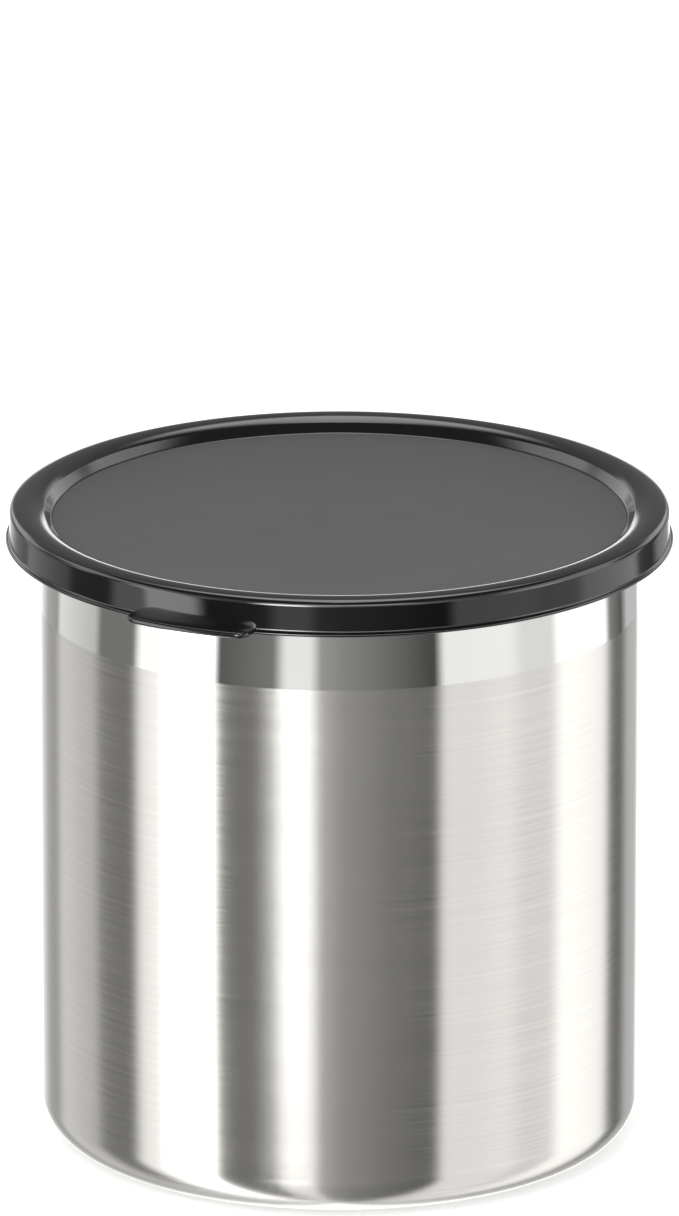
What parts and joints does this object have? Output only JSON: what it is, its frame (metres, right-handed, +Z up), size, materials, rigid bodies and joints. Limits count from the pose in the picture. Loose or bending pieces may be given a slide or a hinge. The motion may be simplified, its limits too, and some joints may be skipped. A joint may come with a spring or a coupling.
{
  "type": "bacon grease container",
  "caption": "Round steel can with a rolled rim, a drop-in woven mesh strainer bowl and a press-fit plastic lid with a sunk panel and a pull tab, for keeping strained cooking fat.",
  "frame": {"origin": "middle of the can's flat floor, on the surface that it stands on", "axes": "+Z up along the can's axis, -Y to the front, +X to the right; the lid's pull tab is at the front left"},
  "size_m": [0.1246, 0.1256, 0.122],
  "materials": {
    "can_steel": "drawn stainless steel, brushed round the wall, polished under the rim",
    "flange_steel": "stamped stainless steel, satin",
    "mesh_wire": "woven stainless wire, bright",
    "lid_plastic": "moulded black polyethylene, glossy ring and skirt, matte panel"
  },
  "bodies": {
    "can": {"can_body": "can_steel"},
    "strainer": {"strainer_flange": "flange_steel", "clamp_hoop": "flange_steel", "strainer_mesh": "mesh_wire"},
    "lid": {"lid": "lid_plastic"}
  },
  "joints": [
    {"name": "strainer_lift", "type": "slide", "parent": "can", "child": "strainer", "axis": [0, 0, 1], "range_m": [0, 0.041]},
    {"name": "lid_lift", "type": "slide", "parent": "strainer", "child": "lid", "axis": [0, 0, 1], "range_m": [0, 0.039]}
  ]
}
